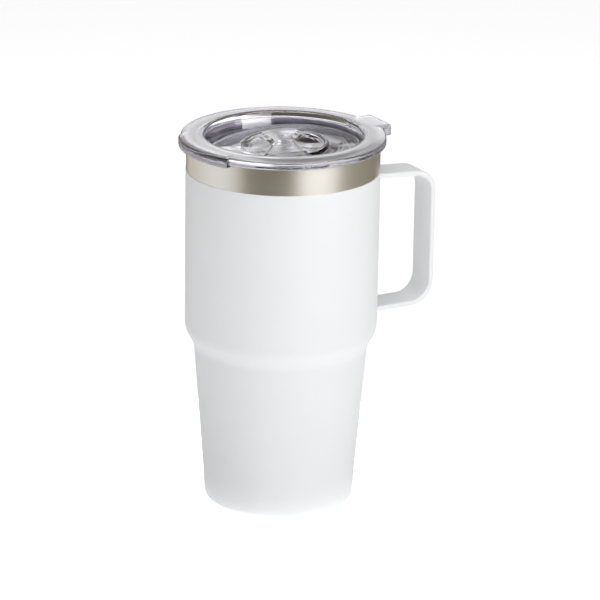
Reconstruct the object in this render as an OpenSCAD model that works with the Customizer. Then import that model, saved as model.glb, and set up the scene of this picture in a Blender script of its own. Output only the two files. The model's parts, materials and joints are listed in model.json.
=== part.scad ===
// Insulated travel mug: a double-wall steel body with a strap handle, and a clear press-in lid
// with a twist dial that opens its sip slot. The origin is the centre of the foot, +Z is the
// axis of the mug and +X points along the handle.

/* [Mug body] */
// Height of the steel body to the top of its lip
body_h = 168.4; // [160:0.1:180]
// Radius of the painted upper body
body_r = 43.7; // [43:0.1:46]
// Radius of the foot, before its corner is rounded
foot_r = 33.7; // [32:0.1:35]
// Radius at the top of the narrow lower half
waist_r = 39.5; // [38:0.1:41]
// Height of the top of the narrow lower half
waist_z = 73.8; // [68:0.1:76]
// Height of the shoulder between the two halves
shoulder_h = 8; // [6:0.5:10]
// Height of the bare steel band at the mouth
band_h = 12.3; // [8:0.1:20]
// Radius of the foot's corner
foot_corner = 2.5; // [2:0.1:3]
// Radius of the bends at the shoulder
shoulder_bend = 10; // [6:1:12]

/* [Walls] */
// Thickness of the steel sheet
sheet_t = 0.6; // [0.5:0.05:0.7]
// Thickness of the powder coat
coat_t = 0.2; // [0.15:0.05:0.25]
// Vacuum gap between the two steel walls
vacuum_gap = 2.2; // [2:0.1:3]
// Thickness of the foil round the liner
foil_t = 0.2; // [0.1:0.05:0.3]
// Height of the liner's floor inside the mug
floor_h = 8.5; // [8:0.5:12]

/* [Handle] */
// Distance from the axis to the handle's outer face
handle_reach = 76.8; // [68:0.1:82]
// Height of the handle's top face where it meets the body
handle_top = 149.1; // [140:0.1:152]
// Slope of the handle's top, down from the body, in degrees
top_slope = 4; // [0:0.5:8]
// Height of the handle's lowest face
handle_bottom = 82.9; // [82.9:0.1:95]
// Thickness of the strap
strap_t = 2.5; // [2:0.1:3.5]
// Width of the strap
strap_w = 15; // [12:0.5:20]
// Outer radius of the upper bend
bend_top = 10.5; // [8:0.5:16]
// Outer radius of the lower bend
bend_bottom = 11.5; // [8:0.5:22]

/* [Lid] */
// Radius of the lid's flange
lid_r = 46; // [45.5:0.1:48]
// Height of the lid above the lip
lid_h = 4; // [3.5:0.1:5]
// Radius of the well at its top edge
well_r = 36; // [34.5:0.1:36.5]
// Wall thickness of the well, its floor and the skirt
lid_wall = 1.9; // [1.6:0.1:2.2]
// Slope of the well's floor towards the sip opening, in degrees
floor_slope = 4; // [2:0.5:5]
// Depth of the floor's middle below the top of the lid
well_depth = 7.1; // [6.5:0.1:8]
// Depth of the skirt below the lip
skirt_depth = 11; // [10:0.5:14]
// Reach of the lift tab from the axis
tab_reach = 51; // [50:0.1:54]
// Width of the lift tab
tab_w = 20; // [12:1:24]
// Half the angle of the sip lip
lip_angle = 28.5; // [20:0.5:35]
// How far the sip lip stands out past the flange
lip_step = 1; // [0.5:0.1:2]
// How far the sip lip hangs below the flange, outside the mouth
lip_drop = 1.5; // [0.5:0.1:2.5]

/* [Dial] */
// Radius of the dial's round hub
dial_r = 20.5; // [18:0.5:21]
// Radius to the end of the dial's wing
wing_r = 31.3; // [30:0.1:31.5]
// Half the angle of the wing
wing_angle = 31; // [28:1:34]
// Height of the dial's plate above the floor
dial_h = 2; // [1.8:0.1:2.4]
// Height of the grip above the plate
grip_h = 1.5; // [1:0.1:2]
// Direction of the grip, counted from the lift tab
grip_turn = 65; // [0:5:175]
// Radius of the pin that the dial turns on
pin_r = 4; // [3:0.1:4.5]

/* [Hidden] */
$fn = 120;

arc_step = 9;                               // degrees between the points of a rounded corner
shoulder_z = waist_z + shoulder_h;
paint_z = body_h - band_h;
steel_r = body_r - coat_t;                  // outer radius of the bare steel
mouth_r = steel_r - 2 * sheet_t;            // bore of the mouth
liner_in = coat_t + 2 * sheet_t + vacuum_gap; // from the painted face in to the liner's wet face
liner_out = liner_in - sheet_t;             // and to its vacuum face
neck_z = body_h - 20;                       // where the liner starts to flare to the mouth
neck_h = 7;
weld_h = 0.8;                               // height of the sheet joint in the foot

foot_in = foot_r - foot_corner;             // where the foot's flat ring meets its corner
ring_in = 27.4;                             // inner edge of the flat ring
recess_h = 2.2;                             // height of the foot's recess
port_r = 1;                                 // evacuation port and the dimple round it
dimple_r = 4.5;
dimple_h = 1.4;
disc_r = 22;
disc_t = 0.5;
getter_x = 14;                              // where the getter sits on the base cap
getter_r = 5;
getter_h = 2.2;
foil_z = 20;                                // where the foil starts
strap_start = 38;                           // where the strap's ends start, inside the body

rest_gap = 0.05;                            // parts that rest or run on each other
lid_z = body_h + rest_gap;
hang_r = steel_r + 0.5;                     // inner radius of what hangs outside the mouth
tab_drop = 1.2;                             // how far the lift tab hangs below the flange
lid_top = body_h + lid_h;
skirt_r = mouth_r - 1;
skirt_z = body_h - skirt_depth;
groove_z = skirt_z + 3;
groove_h = 3;
groove_d = 0.9;
floor_z = lid_top - well_depth;             // middle of the well's floor
well_low_z = floor_z - 4.2;                 // lowest level that the well's wall reaches
well_draft = 0.337;                         // how fast the well narrows with depth
floor_t = 2;

sip_r = 25.5;                               // middle of the curved sip slot
sip_w = 7;
sip_angle = 21;
plate_gap = 0.25;                           // under the dial's plate
pad_t = 1;
pad_edge = 1.6;                             // how far the pad reaches past the slot
ring_r = 5.3;                               // O-ring round the hub
ring_section = 0.7;
ring_room = 0.8;                            // half the width of its groove
clip_r = 8;
clip_t = 1.2;
clip_gap = 0.2;
grip_angle = 22;                            // half the flare of the hourglass grip
grip_waist = 4;                             // half its width in the middle

// ---- outlines ------------------------------------------------------------------------------

function unit(v) = v / norm(v);

// Points of the arc that rounds the corner b, between a and c, to the radius b[2]
function corner(a, b, c) =
    let (p = [b.x, b.y], r = len(b) > 2 ? b[2] : 0)
    r == 0 ? [p] :
    let (u = unit([a.x, a.y] - p),
         v = unit([c.x, c.y] - p),
         half = acos(u * v) / 2,
         centre = p + unit(u + v) * r / sin(half),
         from = p + u * r / tan(half) - centre,
         to = p + v * r / tan(half) - centre,
         start = atan2(from.y, from.x),
         turn = (atan2(to.y, to.x) - start + 540) % 360 - 180,
         steps = max(2, ceil(abs(turn) / arc_step)))
    [for (i = [0 : steps]) centre + r * [cos(start + turn * i / steps), sin(start + turn * i / steps)]];

// A closed outline of [x, y] or [x, y, radius] corners, with each radius rounded
function rounded(path) =
    let (n = len(path))
    [for (i = [0 : n - 1]) each corner(path[(i + n - 1) % n], path[i], path[(i + 1) % n])];

function reversed(list) = [for (i = [len(list) - 1 : -1 : 0]) list[i]];

// Outer wall from the foot to the height top, set in by d from the painted face
function wall(d, top) = [
    [foot_in, d],
    [foot_r - d, d, foot_corner - d],
    [waist_r - d, waist_z, shoulder_bend + d],
    [body_r - d, shoulder_z, shoulder_bend - d],
    [body_r - d, top]];

// Liner wall from the axis at the floor to the lip, set in by d from the painted face
function liner(d, base, bore) = [
    [0, base],
    [foot_r + (waist_r - foot_r) * base / waist_z - d, base, 7],
    [waist_r - d, waist_z, shoulder_bend + d],
    [body_r - d, shoulder_z, shoulder_bend - d],
    [body_r - d, neck_z, 4],
    [bore, neck_z + neck_h, 4]];

// Radius of the well's inner wall at a height
function well_wall(z) = well_r - well_draft * (lid_top - z);

// Curved slot about the axis: middle radius r, full width w, half angle a
module curved_slot(r, w, a, h) {
    rotate([0, 0, -a])
        rotate_extrude(angle = 2 * a)
            translate([r - w / 2, 0]) square([w, h]);
    for (side = [-a, a])
        rotate([0, 0, side]) translate([r, 0, 0]) cylinder(h = h, d = w);
}

// Puts its children on the well's sloping floor: z = 0 is the floor's top face
module on_floor() {
    translate([0, 0, floor_z]) rotate([0, -floor_slope, 0]) children();
}

// ---- steel body ----------------------------------------------------------------------------

module shell_outline(top) {
    rotate_extrude() polygon(rounded(concat([[0, coat_t]], wall(coat_t, top), [[0, top]])));
}

module outer_shell() {
    color("silver")
        rotate_extrude() polygon(rounded(concat(
            [for (p = wall(coat_t, body_h)) p.y == body_h ? [p.x, p.y, 0.5] : p],
            reversed(wall(coat_t + sheet_t, body_h)))));
}

module powder_coat() {
    color("white") difference() {
        rotate_extrude() polygon(rounded(concat(wall(0, paint_z), reversed(wall(coat_t, paint_z)))));
        strap_blank();
    }
}

module inner_liner() {
    color("gainsboro")
        rotate_extrude() polygon(rounded(concat(
            liner(liner_in, floor_h, mouth_r),
            [[mouth_r, body_h, 0.5], [mouth_r + sheet_t, body_h]],
            reversed(liner(liner_out, floor_h - sheet_t, mouth_r + sheet_t)))));
}

module foil_wrap() {
    top = neck_z - 4;
    lean = (waist_r - foot_r) / waist_z;
    start = foot_r + lean * foil_z - liner_out;
    color("lightgray")
        rotate_extrude() polygon(rounded([
            [start, foil_z],
            [start + foil_t, foil_z],
            [waist_r - liner_out + foil_t, waist_z, shoulder_bend + liner_out],
            [body_r - liner_out + foil_t, shoulder_z, shoulder_bend - liner_out],
            [body_r - liner_out + foil_t, top],
            [body_r - liner_out, top],
            [body_r - liner_out, shoulder_z, shoulder_bend - liner_out],
            [waist_r - liner_out, waist_z, shoulder_bend + liner_out]]));
}

module base_cap() {
    rise = recess_h + dimple_h;
    color("silver")
        rotate_extrude() polygon(rounded([
            [foot_in, 0], [foot_in, weld_h], [ring_in + 0.4, weld_h, 0.4],
            [ring_in - 1.1, recess_h + sheet_t, 0.6], [dimple_r + 0.5, recess_h + sheet_t],
            [dimple_r - 0.5, rise + sheet_t], [port_r, rise + sheet_t], [port_r, rise],
            [dimple_r - 1, rise], [dimple_r, recess_h], [ring_in - 1.6, recess_h, 0.6],
            [ring_in, 0, 0.6]]));
}

module base_disc() {
    color("silver") translate([0, 0, recess_h - disc_t]) cylinder(h = disc_t, r = disc_r);
}

module vacuum_bead() {
    bead_z = recess_h + 0.3;
    color("dimgray") {
        translate([0, 0, bead_z]) cylinder(h = recess_h + dimple_h - bead_z, r = dimple_r - 1.6);
        translate([0, 0, bead_z]) cylinder(h = dimple_h + sheet_t, r = port_r);
    }
}

module getter() {
    color("darkgray") translate([getter_x, 0, recess_h + sheet_t]) cylinder(h = getter_h, r = getter_r);
}

// ---- handle --------------------------------------------------------------------------------

// Height of the handle's top face at a distance from the axis
function strap_top(x) = handle_top - (x - body_r) * tan(top_slope);

module strap_blank() {
    inner = handle_reach - strap_t;
    rotate([90, 0, 0])
        linear_extrude(strap_w, center = true)
            polygon(rounded([
                [strap_start, strap_top(strap_start)], [handle_reach, strap_top(handle_reach), bend_top],
                [handle_reach, handle_bottom, bend_bottom],
                [strap_start, handle_bottom], [strap_start, handle_bottom + strap_t],
                [inner, handle_bottom + strap_t, bend_bottom - strap_t],
                [inner, strap_top(inner) - strap_t, bend_top - strap_t],
                [strap_start, strap_top(strap_start) - strap_t]]));
}

module handle_strap() {
    color("white") difference() {
        strap_blank();
        shell_outline(body_h);
    }
}

// ---- lid -----------------------------------------------------------------------------------

// Flange, well wall and skirt in one turned section
module lid_section() {
    web_z = lid_z + 0.8;
    outer_low = well_wall(well_low_z) + lid_wall;
    rotate_extrude() polygon(rounded([
        [lid_r, lid_z, 0.8], [lid_r, lid_top - 0.5, 1.4], [lid_r - 4.5, lid_top, 6],
        [well_wall(lid_top), lid_top - 0.1, 1.6], [well_wall(well_low_z), well_low_z],
        [outer_low, well_low_z], [well_wall(web_z) + lid_wall, web_z, 0.6],
        [skirt_r - lid_wall, web_z, 0.6], [skirt_r - lid_wall, skirt_z, 0.5],
        [skirt_r, skirt_z, 0.5], [skirt_r, groove_z], [skirt_r - groove_d, groove_z],
        [skirt_r - groove_d, groove_z + groove_h], [skirt_r, groove_z + groove_h],
        [skirt_r, lid_z]]));
}

// Sloping floor, its edge let into the middle of the well's wall
module well_floor() {
    high = lid_top - 2;
    intersection() {
        on_floor() translate([-60, -60, -floor_t]) cube([120, 120, floor_t]);
        rotate_extrude() polygon([
            [0, well_low_z], [well_wall(well_low_z) + lid_wall / 2, well_low_z],
            [well_wall(high) + lid_wall / 2, high], [0, high]]);
    }
}

// Everything under the floor, inside the skirt
module under_floor() {
    difference() {
        translate([0, 0, well_low_z - 1]) cylinder(h = lid_top - well_low_z, r = skirt_r - lid_wall - 0.6);
        on_floor() translate([-60, -60, -floor_t]) cube([120, 120, 60]);
    }
}

module lift_tab() {
    bottom = lid_z - tab_drop;
    translate([0, 0, bottom])
        linear_extrude(lid_top - 0.15 - bottom)
            polygon(rounded([
                [hang_r, -tab_w / 2], [tab_reach, -tab_w / 2, 2],
                [tab_reach, tab_w / 2, 2], [hang_r, tab_w / 2]]));
}

module sip_lip() {
    rotate([0, 0, 180 - lip_angle])
        rotate_extrude(angle = 2 * lip_angle)
            polygon(rounded([
                [hang_r, lid_z - lip_drop, 0.3], [lid_r + lip_step, lid_z - lip_drop, 0.9],
                [lid_r + lip_step, lid_top - 0.3, 1.4], [hang_r, lid_top - 0.1]]));
}

module lid_body() {
    color([0.86, 0.87, 0.88, 0.4]) difference() {
        union() {
            difference() {
                lid_section();
                under_floor();
            }
            well_floor();
            lift_tab();
            sip_lip();
        }
        on_floor() translate([0, 0, -floor_t - 1]) {
            rotate([0, 0, 180]) curved_slot(sip_r, sip_w, sip_angle, floor_t + 2);
            cylinder(h = floor_t + 2, r = pin_r + rest_gap);
        }
    }
}

module lid_gasket() {
    root = skirt_r - groove_d;
    tip = mouth_r - rest_gap;
    color("whitesmoke")
        rotate_extrude() polygon([
            [root, groove_z], [skirt_r, groove_z], [skirt_r, groove_z + 0.3],
            [tip, groove_z + 0.9], [tip, groove_z + 1.2], [skirt_r, groove_z + 1.2],
            [skirt_r, groove_z + 1.8], [tip, groove_z + 2.4], [tip, groove_z + 2.7],
            [skirt_r, groove_z + 2.7], [skirt_r, groove_z + groove_h], [root, groove_z + groove_h]]);
}

// ---- dial ----------------------------------------------------------------------------------

// Hourglass grip: a bar across the dial, narrow in the middle and flared to both ends
module grip() {
    reach = dial_r - 1;
    flare = grip_waist + (reach - grip_waist) * tan(grip_angle);
    rotate([0, 0, grip_turn])
        intersection() {
            linear_extrude(grip_h)
                polygon([for (end = [1, -1]) each [
                    [-end * grip_waist, end * grip_waist],
                    [end * grip_waist, end * grip_waist],
                    [end * reach, end * flare],
                    [end * reach, -end * flare]]]);
            cylinder(h = grip_h, r = reach);
        }
}

module dial() {
    plate_t = dial_h - plate_gap;
    stem_low = -floor_t - clip_gap - clip_t;
    color([0.9, 0.91, 0.92, 0.5]) on_floor() difference() {
        union() {
            translate([0, 0, plate_gap]) cylinder(h = plate_t, r = dial_r);
            translate([0, 0, plate_gap])
                rotate([0, 0, 180 - wing_angle])
                    rotate_extrude(angle = 2 * wing_angle)
                        translate([dial_r - 3, 0]) square([wing_r - dial_r + 3, plate_t]);
            translate([0, 0, dial_h]) grip();
            translate([0, 0, stem_low]) cylinder(h = dial_h - stem_low, r = pin_r);
        }
        rotate([0, 0, 180]) translate([0, 0, plate_gap - 1])
            curved_slot(sip_r, sip_w + 2 * pad_edge, sip_angle, 1 + rest_gap + pad_t - plate_gap);
        translate([0, 0, plate_gap - 1]) difference() {
            cylinder(h = 1 + 2 * (ring_section + rest_gap) - plate_gap, r = ring_r + ring_room);
            cylinder(h = 4, r = ring_r - ring_room);
        }
    }
}

module dial_pad() {
    color("whitesmoke") on_floor() translate([0, 0, rest_gap])
        rotate([0, 0, 180]) curved_slot(sip_r, sip_w + 2 * pad_edge, sip_angle, pad_t);
}

module hub_ring() {
    color("whitesmoke") on_floor() translate([0, 0, ring_section + rest_gap])
        rotate_extrude() translate([ring_r, 0]) circle(r = ring_section);
}

module hub_clip() {
    color("gainsboro") on_floor() translate([0, 0, -floor_t - clip_gap - clip_t]) difference() {
        cylinder(h = clip_t, r = clip_r);
        translate([0, 0, -1]) cylinder(h = clip_t + 2, r = pin_r);
    }
}

outer_shell();
powder_coat();
inner_liner();
foil_wrap();
base_cap();
base_disc();
vacuum_bead();
getter();
handle_strap();
lid_body();
lid_gasket();
dial();
dial_pad();
hub_ring();
hub_clip();
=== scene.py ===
import json
import math

import bmesh
import bpy
from mathutils import Matrix, Vector


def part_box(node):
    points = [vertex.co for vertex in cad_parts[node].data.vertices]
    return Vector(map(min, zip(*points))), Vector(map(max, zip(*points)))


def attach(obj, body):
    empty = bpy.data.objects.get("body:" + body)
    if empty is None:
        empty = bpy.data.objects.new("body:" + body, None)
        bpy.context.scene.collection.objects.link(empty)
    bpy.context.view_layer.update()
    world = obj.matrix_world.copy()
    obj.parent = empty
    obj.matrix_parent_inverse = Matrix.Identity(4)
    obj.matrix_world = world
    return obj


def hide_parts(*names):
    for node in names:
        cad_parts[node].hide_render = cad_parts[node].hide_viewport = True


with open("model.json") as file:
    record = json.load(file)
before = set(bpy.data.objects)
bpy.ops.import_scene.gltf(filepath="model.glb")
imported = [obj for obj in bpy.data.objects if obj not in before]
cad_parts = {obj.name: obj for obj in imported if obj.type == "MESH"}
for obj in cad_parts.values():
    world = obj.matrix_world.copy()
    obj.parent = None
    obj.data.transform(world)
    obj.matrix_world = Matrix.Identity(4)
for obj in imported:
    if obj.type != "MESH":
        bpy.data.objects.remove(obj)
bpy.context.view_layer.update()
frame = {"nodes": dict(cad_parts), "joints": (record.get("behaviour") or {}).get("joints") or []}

bl_info = {
    "name": "Insulated travel mug",
    "version": (1, 0, 0),
    "blender": (4, 5, 0),
    "location": "View3D > Sidebar > Travel Mug",
    "description": "Builds a steel travel mug with a strap handle and a clear lid round its packed frame",
    "category": "Add Mesh",
}

MM = 0.001
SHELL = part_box("outer_shell")
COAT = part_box("powder_coat")
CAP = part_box("base_cap")
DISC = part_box("base_disc")
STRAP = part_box("handle_strap")
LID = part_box("lid_body")
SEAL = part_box("lid_gasket")
DIAL_JOINT = next(joint for joint in frame["joints"] if joint["name"] == "dial_turn")

RING_POINTS = 288       # points round a turned piece
ARC_POINTS = 6          # steps in a rounded corner
REST_GAP = 0.05 * MM    # between parts that rest or run on each other
WELL_DRAFT = 0.337      # how fast the lid's well narrows with depth
LID_FLOOR = 2 * MM      # thickness of the well's floor
GROOVE = 0.9 * MM       # depth of the seal's groove in the skirt
PIN_END = -3.4 * MM     # lower end of the dial's pin and of its clip, from the well's floor
SHARP = math.radians(32)
WARM_WALL = Vector((1.0, 0.92, 0.68))      # the colour of the studio's unlit walls
COOL_TENT = Vector((0.86, 0.83, 1.0))      # and of the tent that lights the clear parts from all round

# The room that the bare band mirrors: how bright it is at each turn, in degrees from the camera to the right
ROOM = (
    (-180, 0.12), (-160, 0.14), (-150, 0.3),                                    # the dark back of the room
    (-142, 0.68), (-133, 0.66), (-110, 0.80), (-85, 0.98), (-70, 1.0), (-61, 0.92),     # a pale wall
    (-50, 0.70), (-40, 0.30), (-21, 0.20), (-5, 0.23), (6, 0.29),               # the dark behind the camera
    (12, 0.44), (18, 0.66), (26, 0.82), (41, 0.88), (57, 0.78), (64, 0.56),     # a window with soft edges
    (70, 0.45), (80, 0.41), (94, 0.37), (109, 0.34), (128, 0.29),               # a dim wall
    (150, 0.3), (165, 0.16), (180, 0.12))


# ---- sizes and colours ---------------------------------------------------------------------

def linear(hex_colour):
    """An sRGB hex colour as linear red, green and blue."""
    channels = [((hex_colour >> shift) & 255) / 255 for shift in (16, 8, 0)]
    return tuple(c / 12.92 if c <= 0.04045 else ((c + 0.055) / 1.055) ** 2.4 for c in channels)


def length(name, description, default):
    return bpy.props.FloatProperty(name=name, description=description, default=default,
                                   min=0.0, unit="LENGTH", subtype="DISTANCE", precision=5)


def angle(name, description, degrees):
    return bpy.props.FloatProperty(name=name, description=description, default=math.radians(degrees),
                                   unit="ROTATION", subtype="ANGLE")


def colour(name, description, hex_colour):
    return bpy.props.FloatVectorProperty(name=name, description=description, subtype="COLOR", size=3,
                                         min=0.0, max=1.0, default=linear(hex_colour))


class MugBodySizes(bpy.types.PropertyGroup):
    body_height: length("Height", "Height of the steel body to its lip", SHELL[1].z)
    body_radius: length("Upper radius", "Radius of the painted upper body", COAT[1].y)
    foot_radius: length("Foot radius", "Radius of the foot before its corner is rounded", 33.7 * MM)
    foot_corner: length("Foot corner", "Radius of the foot's corner", 2.5 * MM)
    waist_radius: length("Waist radius", "Radius at the top of the narrow lower half", 39.5 * MM)
    waist_height: length("Waist height", "Height of the top of the narrow lower half", 73.8 * MM)
    shoulder_height: length("Shoulder", "Height of the shoulder between the halves", 8 * MM)
    shoulder_bend: length("Shoulder bend", "Radius of the bends at the shoulder", 10 * MM)
    paint_height: length("Paint line", "Height of the top edge of the coat", COAT[1].z)
    coat: length("Coat", "Thickness of the powder coat", 0.2 * MM)
    sheet: length("Sheet", "Thickness of the steel sheet", 0.6 * MM)
    gap: length("Vacuum gap", "Gap between the two steel walls", 2.2 * MM)
    floor: length("Floor", "Height of the liner's floor inside the mug", 8.5 * MM)


class HandleSizes(bpy.types.PropertyGroup):
    reach: length("Reach", "Distance from the axis to the handle's outer face", STRAP[1].x)
    top: length("Top", "Height of the handle's top face where it meets the body", STRAP[1].z)
    slope: angle("Slope", "Slope of the handle's top, down from the body", 4)
    bottom: length("Bottom", "Height of the handle's lowest face", STRAP[0].z)
    width: length("Width", "Width of the strap", STRAP[1].y - STRAP[0].y)
    thickness: length("Thickness", "Thickness of the strap", 2.5 * MM)
    bend_top: length("Upper bend", "Outer radius of the upper bend", 10.5 * MM)
    bend_bottom: length("Lower bend", "Outer radius of the lower bend", 11.5 * MM)
    edge: length("Edge", "Radius of the strap's long edges", 0.7 * MM)
    weld: length("Weld", "Size of the fillet where the strap meets the body", 0.9 * MM)


class LidSizes(bpy.types.PropertyGroup):
    radius: length("Radius", "Radius of the flange", LID[1].y)
    top: length("Top", "Height of the top of the lid", LID[1].z)
    well_radius: length("Well radius", "Radius of the well at its top edge", 36 * MM)
    wall: length("Wall", "Thickness of the well, its floor and the skirt", 1.9 * MM)
    skirt_radius: length("Skirt radius", "Outer radius of the skirt", 41.3 * MM)
    tab_reach: length("Tab reach", "Reach of the lift tab from the axis", LID[1].x)
    tab_width: length("Tab width", "Width of the lift tab", 20 * MM)
    tab_drop: length("Tab drop", "How far the lift tab hangs below the flange", 1.2 * MM)
    lip_reach: length("Lip reach", "Reach of the sip lip from the axis", -LID[0].x)
    lip_angle: angle("Lip angle", "Half the angle of the sip lip", 28.5)
    lip_drop: length("Lip drop", "How far the sip lip hangs below the flange", 1.5 * MM)


class DialSizes(bpy.types.PropertyGroup):
    radius: length("Radius", "Radius of the round hub", 20.5 * MM)
    wing_radius: length("Wing radius", "Radius to the end of the wing", 31.3 * MM)
    wing_angle: angle("Wing angle", "Half the angle of the wing", 31)
    plate: length("Plate", "Height of the plate above the lid's floor", 2 * MM)
    grip: length("Grip", "Height of the grip above the lid's floor", 3.5 * MM)
    grip_turn: angle("Grip direction", "Direction of the grip, counted from the lift tab", 65)
    pin: length("Pin", "Radius of the pin that the dial turns on", 4 * MM)
    slot_radius: length("Slot radius", "From the pin to the middle of the sip slot and its pad", 25.5 * MM)
    slot_width: length("Slot width", "Width of the sip slot", 7 * MM)
    slot_angle: angle("Slot angle", "Half the angle of the sip slot, to the middles of its round ends", 21)
    pad: length("Pad", "Thickness of the silicone pad over the slot", 1 * MM)
    pad_overlap: length("Pad overlap", "How far the pad reaches past the slot", 1.6 * MM)


class MugFinishes(bpy.types.PropertyGroup):
    coat: colour("Powder coat", "Baked polyester powder", 0xF4F5F6)
    band: colour("Bare band", "Brushed stainless steel at the mouth", 0xDCD8D2)
    liner: colour("Liner", "Spun and electropolished stainless steel", 0xC6C5C4)
    clear: colour("Clear lid", "Clear moulded copolyester", 0xF2F1F7)
    seal: colour("Seals", "Moulded silicone rubber", 0xE9EAEA)
    clip: colour("Clip", "Moulded polypropylene", 0xE4E6E6)
    paper: colour("Floor", "Matt studio paper", 0xFBFBFB)


class StudioSizes(bpy.types.PropertyGroup):
    distance: length("Camera distance", "From the camera to the middle of the mug", 1654.2 * MM)
    elevation: angle("Camera elevation", "Height of the camera above the horizon", 18.994)
    azimuth: angle("Camera azimuth", "Direction of the camera, counted from the handle", -120)
    roll: angle("Camera roll", "Turn of the camera about its line of sight", 0.971)
    aim_height: length("Aim height", "Height on the axis that the camera looks at", 85 * MM)
    aim_right: length("Aim right", "Offset of the aim to the right", 8.72 * MM)
    aim_up: length("Aim up", "Offset of the aim upwards", 8.13 * MM)
    lens: bpy.props.FloatProperty(name="Lens", description="Focal length of the camera, in millimetres",
                                  default=218.5, min=1.0, unit="CAMERA")


# ---- outlines ------------------------------------------------------------------------------

def arc(before, at, after, radius, steps=ARC_POINTS):
    """The points of the arc that rounds the corner at, between before and after."""
    at = Vector(at[:2])
    u = (Vector(before[:2]) - at).normalized()
    v = (Vector(after[:2]) - at).normalized()
    half = math.acos(max(-1.0, min(1.0, u.dot(v)))) / 2
    centre = at + (u + v).normalized() * radius / math.sin(half)
    start = at + u * radius / math.tan(half) - centre
    end = at + v * radius / math.tan(half) - centre
    turn = math.atan2(start.x * end.y - start.y * end.x, start.dot(end))
    return [centre + Matrix.Rotation(turn * k / steps, 2) @ start for k in range(steps + 1)]


def rounded(corners, steps=ARC_POINTS):
    """A closed outline of (x, y) or (x, y, radius) corners, with each radius rounded."""
    points = []
    for i, at in enumerate(corners):
        before, after = corners[i - 1], corners[(i + 1) % len(corners)]
        radius = at[2] if len(at) > 2 else 0
        points += arc(before, at, after, radius, steps) if radius else [Vector(at[:2])]
    return points


def on_circle(radius, turn, height=0.0):
    return Vector((radius * math.cos(turn), radius * math.sin(turn), height))


def blend(low, high, value):
    """0 below low, 1 above high, and a smooth step between them."""
    t = max(0.0, min(1.0, (value - low) / (high - low)))
    return t * t * (3 - 2 * t)


# ---- meshes --------------------------------------------------------------------------------

def join_loops(mesh, first, second):
    """Faces between two loops of vertices; a loop of one vertex closes to a point."""
    count = max(len(first), len(second))
    for i in range(count if count > 1 else 0):
        k = (i + 1) % count
        if len(first) == 1:
            mesh.faces.new((first[0], second[k], second[i]))
        elif len(second) == 1:
            mesh.faces.new((first[i], first[k], second[0]))
        else:
            mesh.faces.new((first[i], first[k], second[k], second[i]))


def looped(loops, closed=True):
    """A mesh of faces between each loop of points and the next, and from the last to the first."""
    mesh = bmesh.new()
    rows = [[mesh.verts.new(point) for point in loop] for loop in loops]
    for first, second in zip(rows, rows[1:] + (rows[:1] if closed else [])):
        join_loops(mesh, first, second)
    bmesh.ops.recalc_face_normals(mesh, faces=mesh.faces)
    return mesh


def turned(outline, count=RING_POINTS):
    """A closed outline of (radius, height) turned about the mug's axis."""
    return looped([[Vector((0, 0, z))] if r < 1e-7 else
                   [on_circle(r, 2 * math.pi * k / count, z) for k in range(count)]
                   for r, z in outline])


def smooth(mesh):
    """Smooths the faces, and leaves the edges that bend more than SHARP as creases."""
    for face in mesh.faces:
        face.smooth = True
    for edge in mesh.edges:
        edge.smooth = len(edge.link_faces) != 2 or edge.calc_face_angle() < SHARP


def make_object(name, mesh, material=None):
    """Makes an object in the scene of a mesh, and frees the mesh."""
    data = bpy.data.meshes.new(name)
    mesh.to_mesh(data)
    mesh.free()
    if material:
        data.materials.append(material)
    piece = bpy.data.objects.new(name, data)
    bpy.context.scene.collection.objects.link(piece)
    return piece


def make_piece(name, mesh, material, body, slot, *nodes):
    """Makes an object of a mesh, finishes it and lets it stand for its CAD nodes."""
    smooth(mesh)
    piece = make_object(name, mesh, material)
    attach(piece, body)
    if nodes:
        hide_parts(*nodes)
    return piece


def finish_node(node, material):
    """Gives a CAD node that stays its material."""
    data = frame["nodes"][node].data
    data.materials.clear()
    data.materials.append(material)


def cut(piece, mesh):
    """Cuts a closed mesh out of a piece."""
    cutter = make_object("cutter", mesh)
    modifier = piece.modifiers.new("cut", "BOOLEAN")
    modifier.solver = "EXACT"
    modifier.object = cutter
    bpy.context.view_layer.update()
    graph = bpy.context.evaluated_depsgraph_get()
    result = bpy.data.meshes.new_from_object(piece.evaluated_get(graph))
    piece.modifiers.clear()
    piece.data = result
    bpy.data.objects.remove(cutter)
    mesh = bmesh.new()
    mesh.from_mesh(piece.data)
    bmesh.ops.remove_doubles(mesh, verts=mesh.verts, dist=0.001 * MM)
    smooth(mesh)
    mesh.to_mesh(piece.data)
    mesh.free()


# ---- materials -----------------------------------------------------------------------------

def add_node(tree, kind, inputs=None, **settings):
    """Adds a node. inputs are its sockets' values, or the sockets that feed them; settings are its own."""
    node = tree.nodes.new(kind)
    for name, value in settings.items():
        setattr(node, name, value)
    for name, value in (inputs or {}).items():
        if isinstance(value, bpy.types.NodeSocket):
            tree.links.new(value, node.inputs[name])
        else:
            node.inputs[name].default_value = value
    return node


def new_material(name):
    material = bpy.data.materials.new(name)
    material.use_nodes = True
    material.node_tree.nodes.clear()
    return material, material.node_tree


def shades(base, dark, pale):
    """A colour made darker and paler by two factors, for a mix."""
    return tuple((*(min(1.0, c * factor) for c in base), 1.0) for factor in (dark, pale))


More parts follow.
